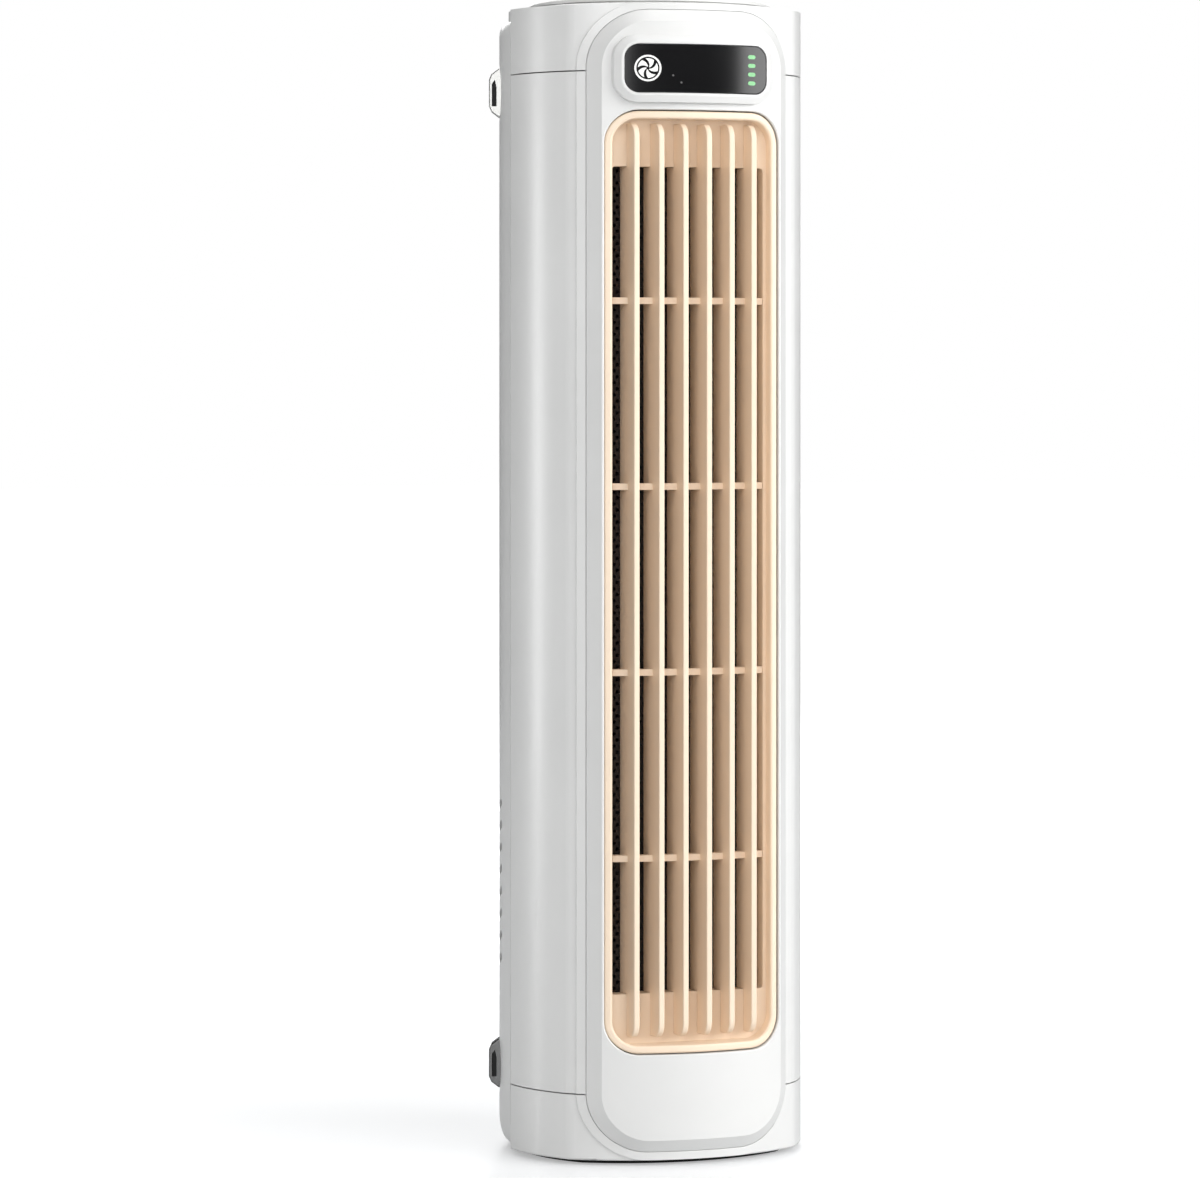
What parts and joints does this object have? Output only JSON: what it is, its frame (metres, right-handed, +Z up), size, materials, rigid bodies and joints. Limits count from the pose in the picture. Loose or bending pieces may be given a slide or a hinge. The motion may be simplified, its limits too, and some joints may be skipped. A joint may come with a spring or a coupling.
{
  "type": "tower fan",
  "caption": "Slim cordless desk tower fan: round white case, raised front panel with a tall slatted cream outlet, touch display, rear vents and strap loops.",
  "frame": {"origin": "centre of the underside of the rubber foot, on the axis of the round case", "axes": "+Z up along the case, -Y to the front where the air comes out, +X to the right when the fan is seen from its front"},
  "size_m": [0.0898, 0.0881, 0.3327],
  "materials": {
    "housing_white": "satin moulded plastic with a fine spark texture",
    "outlet_cream": "satin cream-peach moulded plastic",
    "mesh_dark": "fine dark punched mesh",
    "glass_black": "gloss black tinted window",
    "light_guide": "clear light guide, lit green",
    "led_chip": "small lamp chips",
    "strap_metal_light": "polished metal, light",
    "strap_metal_dark": "polished metal, dark",
    "rubber_dark": "dark rubber",
    "plate_white": "satin moulded plastic",
    "inner_grey": "plain dark grey plastic",
    "impeller_white": "smooth plastic",
    "steel": "machined or drawn steel",
    "screw_steel": "zinc plated screws",
    "magnet": "ferrite ring",
    "lamination": "stacked laminations",
    "copper": "enamelled copper wire",
    "board_green": "circuit board",
    "cell_wrap": "shrink wrapped cells",
    "cable_black": "cable jacket",
    "lead_red": "wire jacket",
    "electrode": "plated sensing pad"
  },
  "bodies": {
    "case": {"base_cap": "housing_white", "body_sleeve": "housing_white", "top_cap": "housing_white", "top_lid": "housing_white", "rear_cover": "housing_white", "front_panel": "housing_white", "display_bezel": "housing_white", "outlet_bezel": "outlet_cream", "outlet_louvre": "outlet_cream", "outlet_mesh": "mesh_dark", "touch_glass": "glass_black", "indicator_light_guides": "light_guide", "indicator_leds": "led_chip", "strap_loops_upper": "strap_metal_light", "strap_loops_lower": "strap_metal_dark", "foot_pad": "rubber_dark", "strap_slot_plugs": "rubber_dark", "base_plate": "plate_white", "air_duct": "inner_grey", "bay_deck": "inner_grey", "battery_holder": "inner_grey", "diffuser": "inner_grey", "blower_shroud": "inner_grey", "motor_mount": "inner_grey", "motor_bearings": "steel", "usb_port": "steel", "base_screws": "screw_steel", "cover_screws": "screw_steel", "mount_screws": "screw_steel", "display_screws": "screw_steel", "motor_stator": "lamination", "motor_windings": "copper", "main_pcb": "board_green", "display_pcb": "board_green", "battery_cells": "cell_wrap", "display_cable": "cable_black", "motor_cable": "cable_black", "battery_leads": "lead_red", "touch_electrode": "electrode"},
    "blower_wheel": {"impeller": "impeller_white", "motor_rotor": "steel", "rotor_magnet": "magnet", "motor_shaft": "steel"}
  },
  "joints": [
    {"name": "impeller_spin", "type": "hinge", "parent": "case", "child": "blower_wheel", "pos_m": [0, 0.0086, 0.075], "axis": [0, 0, 1], "continuous": true}
  ]
}
